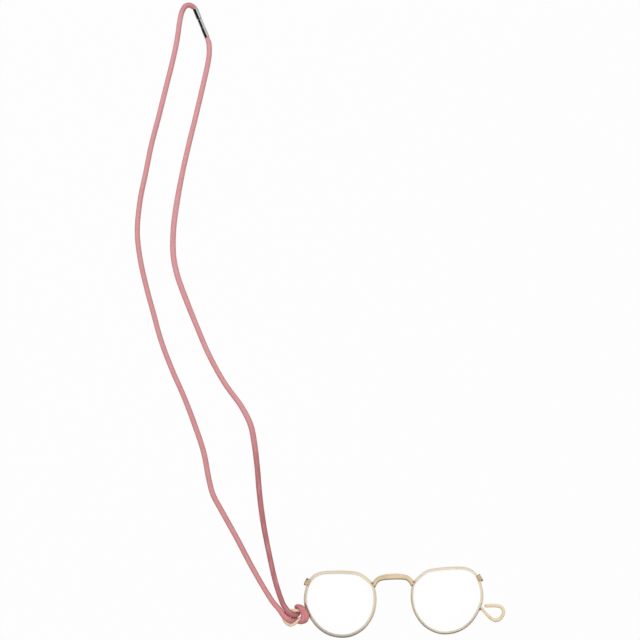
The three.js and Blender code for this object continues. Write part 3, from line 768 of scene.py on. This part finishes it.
# Painted shade where the cord presses against itself in the knot.
KNOT_SHADE_TONE = (0.22, 0.028, 0.038, 1.0)
RIGHT_STRAND = [
    (-111.9, 379.7, 1.85, 1.35, 1.35),
    (-111.35, 378.2, 1.85, 1.4, 1.4),
    (-110.85, 376.6, 1.85, 1.62, 1.62),
    (-110.35, 374.9, 1.8),
    (-110.1, 372.6, 1.75),
    (-110.2, 368.1, 1.75),
    (-111.1, 362.2, 1.75),
    (-115.6, 344.5, 1.75),
    (-120.55, 326.2, 1.75),
    (-125.75, 307.7, 1.75),
    (-130.55, 289.3, 1.75),
    (-134.6, 271.0, 1.75, 1.9, 1.75),
    (-137.7, 252.4, 1.75, 1.9, 1.75),
    (-138.4, 235.0, 1.75, 1.9, 1.75),
    (-136.35, 222.0, 1.75, 1.9, 1.75),
    (-131.2, 205.8, 1.75, 1.9, 1.75),
    (-124.4, 187.1, 1.75),
    (-117.1, 168.3, 1.75),
    (-107.5, 149.4, 1.75),
    (-96.4, 132.7, 1.75, 1.85, 1.75),
    (-91.0, 120.9, 1.75, 1.95, 1.75),
    (-88.9, 108.8, 1.75, 1.95, 1.75),
    (-87.5, 93.0, 1.75, 1.85, 1.75),
    (-86.5, 74.4, 1.75, 1.85, 1.75),
    (-84.7, 55.8, 1.75, 1.85, 1.75),
    (-81.8, 37.1, 1.9),
    (-78.4, 19.1, 3.2),
    (-75.9, 9.8, 4.9),
]
HITCH = [
    (-73.9, 3.9, 6.2),
    (-72.8, 1.3, 6.7, 1.8, 1.7),
    (-71.3, -1.0, 6.9, 1.85, 1.65),
    (-69.6, -3.5, 6.8, 2.0, 1.6),
    (-67.3, -5.1, 6.0, 1.85, 1.9),
    (-64.7, -5.6, 4.5, 1.75, 1.7),
    (-63.7, -5.1, 2.8, 1.8, 1.4),
    (-63.6, -4.1, 1.65, 1.8, 1.4),
    (-63.8, -2.7, 1.45, 1.9, 1.35),
    (-63.9, -1.3, 1.65, 1.9, 1.35),
    (-64.0, -0.25, 2.7, 1.9, 1.35),
    (-63.0, 0.0, 3.9, 2.0, 1.3),
    (-61.9, -0.3, 5.4, 2.1, 1.3),
    (-60.9, -1.5, 6.4, 2.2, 1.3),
    (-60.0, -3.0, 6.6, 2.35, 1.3),
    (-59.3, -4.7, 6.55, 2.55, 1.3),
    (-58.9, -6.5, 6.4, 2.7, 1.3),
    (-59.3, -8.4, 6.2, 2.55, 1.3),
    (-60.2, -9.8, 5.5, 2.3, 1.3),
    (-61.1, -10.5, 4.2, 2.1, 1.3),
    (-61.9, -10.9, 2.7, 2.0, 1.35),
    (-62.8, -10.6, 1.5, 1.9, 1.35),
    (-63.9, -9.8, 1.45, 1.8, 1.4),
    (-64.8, -8.9, 1.95, 1.7, 1.4),
    (-66.0, -8.3, 3.1, 1.6, 1.45),
    (-68.1, -8.9, 5.3, 1.8, 1.95),
    (-70.4, -7.8, 6.7, 2.1, 1.65),
    (-72.4, -5.9, 7.0, 2.0, 1.6),
    (-74.05, -3.95, 6.95, 1.88, 1.65),
    (-75.45, -1.75, 6.6, 1.78, 1.72),
]
LEFT_STRAND = [
    (-79.4, 2.8, 5.3),
    (-83.7, 9.5, 3.6),
    (-88.65, 18.1, 2.2),
    (-93.9, 28.2, 1.75, 1.83, 1.75),
    (-103.0, 47.0, 1.75, 1.83, 1.75),
    (-112.45, 65.4, 1.75, 1.83, 1.75),
    (-117.35, 75.5, 1.75, 1.83, 1.75),
    (-119.7, 85.5, 1.75, 1.83, 1.75),
    (-122.55, 103.5, 1.75, 1.83, 1.75),
    (-128.0, 122.1, 1.75, 1.83, 1.75),
    (-134.45, 140.8, 1.75),
    (-142.0, 159.7, 1.75),
    (-148.4, 178.6, 1.75),
    (-152.95, 197.3, 1.75),
    (-157.3, 215.9, 1.75),
    (-160.65, 234.6, 1.75),
    (-161.75, 251.2, 1.75),
    (-159.2, 271.8, 1.75),
    (-154.85, 290.1, 1.75),
    (-150.45, 308.6, 1.75),
    (-145.0, 327.0, 1.75),
    (-139.8, 345.3, 1.75),
    (-134.5, 363.9, 1.75),
    (-131.35, 376.8, 1.75),
]
OVER_THE_TOP = [
    (-129.3, 388.3, 1.75),
    (-128.35, 392.6, 1.75),
    (-127.3, 396.0, 1.75),
    (-126.15, 398.05, 1.75),
    (-124.85, 399.5, 1.75),
    (-123.2, 400.05, 1.75),
    (-121.45, 399.75, 1.75),
    (-120.0, 398.8, 1.8, 1.7, 1.7),
    (-118.72, 397.75, 1.85, 1.5, 1.5),
    (-118.13, 396.25, 1.85, 1.42, 1.42),
]
SEAM_AT = Vector((-150.45, 308.6, 1.75))


def cord_leather(length):
    """Dyed leather: pores and fibres run along the cord, and it has darkened where it was handled most.
    Painted shade darkens it in the knot and in the bend before the socket.
    """
    finish, start = new_finish("pink_cord_leather")
    lie = start.node("Attribute", {"attribute_name": "lie"}, output="Vector")
    along = start.node("SeparateXYZ", inputs={0: lie}, output=2)
    nook = start.node("Attribute", {"attribute_name": "nook"}, output="Fac")
    drift = start.node("TexNoise", inputs={"Vector": lie, "Scale": 0.045, "Detail": 3.0})
    pores = start.node("TexVoronoi", inputs={"Vector": lie, "Scale": 2.4})
    pulled = start.node("VectorMath", {"operation": "MULTIPLY"}, {0: lie, 1: (1.0, 1.0, 0.07)})
    fibres = start.node("TexNoise", inputs={"Vector": pulled, "Scale": 2.2, "Detail": 4.0})
    share = along * (1.0 / length) + 0.03 * (drift - 0.5)
    colour = start.node("ValToRGB", {"stops": CORD_TONES_AND_SHADE}, {0: share})
    colour = (0.5 * fibres.ramp(0.4, 0.75)).tint(colour, FIBRE_TONE)
    colour = (0.4 * pores.ramp(0.3, 0.75)).tint(colour, PORE_TONE)
    # Painted shade deep in the knot.
    colour = (0.8 * nook.ramp(0.1, 1.0)).tint(colour, KNOT_SHADE_TONE)
    height = 0.7 * pores.ramp(0.0, 0.6, 1.0, 0.0) + 0.3 * fibres
    end_finish(
        start,
        Base_Color=colour,
        Roughness=0.46 + 0.16 * fibres,
        Normal=start.node("Bump", inputs={"Strength": 0.25, "Distance": 0.06 * MM, "Height": height}),
    )
    return finish


def squeezed(place, wide, deep):
    """A frame of the cord, pressed to half a width along the loop's legs and half a depth across them."""
    way = place.col[2].to_3d()
    legs = Vector((1.0, 0.0, 0.0))
    legs = (legs - legs.project(way)).normalized()
    press = Matrix.Scale(wide / CORD_RADIUS, 3, legs) @ Matrix.Scale(deep / CORD_RADIUS, 3, way.cross(legs))
    turn = press @ place.to_3x3()
    return Matrix.Translation(place.translation) @ turn.to_4x4()


corners = RIGHT_STRAND + HITCH + LEFT_STRAND + OVER_THE_TOP
route = spaced(smooth_line([corner[:3] for corner in corners]), CORD_SPACING)
cord_sizes = sizes_along(route, corners, CORD_RADIUS)
cord_frames = [squeezed(place, *size) for place, size in zip(frames_along(route), cord_sizes)]
route_tree = KDTree(len(route))
for k, point in enumerate(route):
    route_tree.insert(point, k)
route_tree.balance()
seam = nearest(route, SEAM_AT)
cord_finish = cord_leather(CORD_SPACING * len(route))


def knot_shade_depth(spot, step):
    """0 in the open and 1 where the skin of the cord, at a step of its route, touches another stretch."""
    others = [away for _, k, away in route_tree.find_range(spot, KNOT_SHADE_REACH) if abs(k - step) > KNOT_SHADE_SKIP]
    return min(1.0, (KNOT_SHADE_REACH - min(others, default=KNOT_SHADE_REACH)) / (KNOT_SHADE_REACH - CORD_RADIUS))


def cord_piece(first, last, name, stands_for):
    """The cord's tube from one point of its route to another, and the points that it follows."""
    mesh = bmesh.new()
    swept(mesh, round_ring(mesh, CORD_RADIUS, CORD_SEGMENTS), cord_frames[first : last + 1])
    lie = mesh.verts.layers.float_vector["lie"]
    # Each vertex keeps how deep the knot's painted shade falls on it.
    nook = mesh.verts.layers.float.new("nook")
    for vert in mesh.verts:
        vert[lie].z += first * CORD_SPACING
        vert[nook] = knot_shade_depth(vert.co, vert[lie].z / CORD_SPACING)
    path = [point * MM for point in route[first : last + 1]]
    return show(mesh, name, cord_finish, stands_for=stands_for), path


strands, strands_path = cord_piece(0, seam, "hitched_cord", ["right_strand", "cord_hitch", "left_strand"])
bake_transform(strands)
top, top_path = cord_piece(seam, len(route) - 1, "cord_over_the_top", ["cord_top"])
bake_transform(top)


# Clasp: a push-in clasp turned from steel rod and polished. The plug's sleeve and the socket are glued to
# the two ends of the cord, and a split spring ring inside the socket grips the plug's pin.
CLASP_FOOT = Vector((-111.3, 378.1, 1.85))
CLASP_TURN = 0.36
CLASP_STEPS = 56
CHAMFER = 0.2
EASED_EDGE = 0.28
EASED_LENGTH = 0.48
SEAT_DEPTH = 1.8
PLUG_SEAT_RADIUS = 1.45
SLEEVE_RADIUS = 1.75
SLEEVE_LENGTH = 7.0
NECK_RADIUS = 1.6
NECK_END = 13.2
PIN_RADIUS = 0.9
PIN_END = 17.6
MOUTH = 13.3
SOCKET_RADIUS = 1.85
SOCKET_SEAT_RADIUS = 1.55
SOCKET_END = 20.9
BORE_RADIUS = 1.05
BORE_END = 18.1
RING_SEAT_RADIUS = 1.5
RING_SEAT = (15.0, 15.8)
STEEL_BRIGHT = (0.6, 0.6, 0.61, 1.0)
STEEL_DULL = (0.5, 0.5, 0.51, 1.0)
PLUG_PROFILE = [
    (0.0, SEAT_DEPTH),
    (PLUG_SEAT_RADIUS, SEAT_DEPTH),
    (PLUG_SEAT_RADIUS, 0.0),
    (SLEEVE_RADIUS - CHAMFER / 2, 0.0),
    (SLEEVE_RADIUS, CHAMFER / 2),
    (SLEEVE_RADIUS, SLEEVE_LENGTH - CHAMFER),
    (NECK_RADIUS, SLEEVE_LENGTH),
    (NECK_RADIUS, NECK_END - EASED_LENGTH),
    (NECK_RADIUS - EASED_EDGE, NECK_END),
    (PIN_RADIUS, NECK_END),
    (PIN_RADIUS, PIN_END - PIN_RADIUS / 2),
    (PIN_RADIUS / 2, PIN_END),
    (0.0, PIN_END),
]
SOCKET_PROFILE = [
    (0.0, BORE_END),
    (BORE_RADIUS, BORE_END),
    (BORE_RADIUS, RING_SEAT[1]),
    (RING_SEAT_RADIUS, RING_SEAT[1]),
    (RING_SEAT_RADIUS, RING_SEAT[0]),
    (BORE_RADIUS, RING_SEAT[0]),
    (BORE_RADIUS, MOUTH + CHAMFER),
    (BORE_RADIUS + CHAMFER, MOUTH),
    (SOCKET_RADIUS - CHAMFER, MOUTH),
    (SOCKET_RADIUS, MOUTH + CHAMFER),
    (SOCKET_RADIUS, SOCKET_END - EASED_LENGTH),
    (SOCKET_RADIUS - EASED_EDGE, SOCKET_END),
    (SOCKET_SEAT_RADIUS, SOCKET_END),
    (SOCKET_SEAT_RADIUS, SOCKET_END - SEAT_DEPTH),
    (0.0, SOCKET_END - SEAT_DEPTH),
]


def turned(profile):
    """A piece turned about the clasp's axis from its profile, radius and way along, laid in its place."""
    mesh = bmesh.new()
    verts = [mesh.verts.new((radius, way, 0.0)) for radius, way in profile]
    edges = [mesh.edges.new(pair) for pair in zip(verts, verts[1:])]
    bmesh.ops.spin(mesh, geom=verts + edges, cent=(0.0, 0.0, 0.0), axis=(0.0, 1.0, 0.0),
                   angle=2 * math.pi, steps=CLASP_STEPS, use_merge=True)
    place = Matrix.Translation(CLASP_FOOT) @ Matrix.Rotation(CLASP_TURN, 4, "Z")
    bmesh.ops.transform(mesh, matrix=place, verts=mesh.verts)
    return mesh


def polished_steel():
    """Bright steel with faint turning lines and a few rubbed, duller patches."""
    finish, start = new_finish("polished_clasp_steel")
    place = start.node("TexCoord", output="Object")
    rubbed = start.node("TexNoise", inputs={"Vector": place, "Scale": 420.0, "Detail": 4.0})
    lines = start.node("TexNoise", inputs={"Vector": place, "Scale": 6000.0, "Detail": 1.0})
    end_finish(
        start,
        Base_Color=rubbed.ramp(0.35, 0.7).tint(STEEL_BRIGHT, STEEL_DULL),
        Metallic=1.0,
        Roughness=0.03 + 0.05 * rubbed.ramp(0.5, 0.75),
        Normal=start.node("Bump", inputs={"Strength": 0.04, "Distance": 0.01 * MM, "Height": lines}),
    )
    return finish


steel_finish = polished_steel()
plug = turned(PLUG_PROFILE)
plug = show(plug, "plug_with_sleeve", steel_finish, "necklace", ["clasp_plug"])
socket = turned(SOCKET_PROFILE)
socket = show(socket, "clasp_barrel", steel_finish, "clasp_end", ["clasp_socket"])
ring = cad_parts["clasp_ring"]
ring.data.materials.clear()
ring.data.materials.append(steel_finish)


# Table: a plain matt white board, wide enough to fill every view. To the camera it is nearly pure white,
# with a faint shadow, and in the polished metal it is light grey.
TABLE_RADIUS = 12.0
TABLE_SEGMENTS = 64
TABLE_DROP = 0.05 * MM
TABLE_COLOUR = (0.45, 0.45, 0.45, 1.0)
TABLE_GLOW = 0.97
TABLE_GLOW_IN_METAL = 0.48
WHITE = (1.0, 1.0, 1.0, 1.0)

table_finish, start = new_finish("matt_white_table")
rays = [start.node("LightPath", output=f"Is {kind} Ray") for kind in ("Camera", "Transmission", "Glossy")]
glow = TABLE_GLOW * rays[0].math("MAXIMUM", *rays[:2]) + TABLE_GLOW_IN_METAL * rays[2]
matt = start.node("BsdfDiffuse", inputs={"Color": TABLE_COLOUR})
white = start.node("Emission", inputs={"Color": WHITE, "Strength": 1.0})
start.node("OutputMaterial", inputs={"Surface": start.node("MixShader", inputs={0: glow, 1: matt, 2: white})})
table_mesh = bmesh.new()
bmesh.ops.create_circle(table_mesh, cap_ends=True, radius=TABLE_RADIUS, segments=TABLE_SEGMENTS)
bmesh.ops.translate(table_mesh, vec=(0.0, 0.0, -TABLE_DROP), verts=table_mesh.verts)
table_data = bpy.data.meshes.new("table")
table_mesh.to_mesh(table_data)
table_mesh.free()
table_data.materials.append(table_finish)
table = bpy.data.objects.new("table", table_data)
bpy.context.collection.objects.link(table)


# Studio: a room with a white ceiling that leans to the back, pale walls at the sides, a grey one behind and a
# dark one in front. One narrow black screen leans over the table from the left and draws the streak in the
# polished clasp. A wide soft lamp hangs above the table.
ROOM_TOP = 1.0
WALL_BEHIND = 0.6
WALL_BESIDE = 0.78
WALL_IN_FRONT = 0.02
CEILING = Vector((0.0, 0.3, 0.954))
CEILING_EDGE = (0.25, 0.85)
BACK = Vector((0.0, 1.0, 0.0))
FRONT_TO_SIDE = (-0.9, 0.0)
SIDE_TO_BACK = (0.1, 0.7)
SCREEN_ACROSS = Vector((-0.352, 0.936, 0.0))
SCREEN_LEFT = Vector((-0.936, -0.352, 0.0))
SCREEN_MIDDLE = 0.177
SCREEN_EDGE = (0.05, 0.08)
SCREEN_END = (-0.24, -0.16)
SCREEN_SHADE = 0.98
LAMP_SIZE = 1.4
LAMP_AT = Vector((-0.3, 0.25, 1.5))
LAMP_POWER = 14.0

world = bpy.data.worlds.new("studio")
world.use_nodes = True
world.node_tree.nodes.clear()
bpy.context.scene.world = world
start = Shade(world.node_tree)
way = start.node("TexCoord", output="Generated")


def facing(direction):
    """How far a way through the room turns to a direction: 1 straight at it, 0 square to it."""
    return start.node("VectorMath", {"operation": "DOT_PRODUCT"}, {0: way, 1: direction}, "Value")


height = facing(CEILING).ramp(*CEILING_EDGE)
back = facing(BACK)
walls = back.ramp(*FRONT_TO_SIDE, WALL_IN_FRONT, WALL_BESIDE)
walls = walls - back.ramp(*SIDE_TO_BACK, 0.0, WALL_BESIDE - WALL_BEHIND)
room = walls * (1.0 - height) + ROOM_TOP * height
beside = facing(SCREEN_ACROSS) - SCREEN_MIDDLE
beside = beside.math("ABSOLUTE", beside)
screen = beside.ramp(*SCREEN_EDGE, SCREEN_SHADE, 0.0) * facing(SCREEN_LEFT).ramp(*SCREEN_END)
room = room * (1.0 - screen)
camera_ray = start.node("LightPath", output="Is Camera Ray")
start.node("OutputWorld", inputs={
    "Surface": start.node("Background", inputs={
        "Color": camera_ray.tint(room, WHITE),
        "Strength": 1.0,
    }),
})

lamp_data = bpy.data.lights.new("soft_lamp", "AREA")
lamp_data.shape = "DISK"
lamp_data.size = LAMP_SIZE
lamp_data.energy = LAMP_POWER
lamp = bpy.data.objects.new("soft_lamp", lamp_data)
lamp.location = VIEW_CENTRE + LAMP_AT
lamp.visible_glossy = False
bpy.context.collection.objects.link(lamp)

bpy.context.scene.view_settings.view_transform = "Standard"
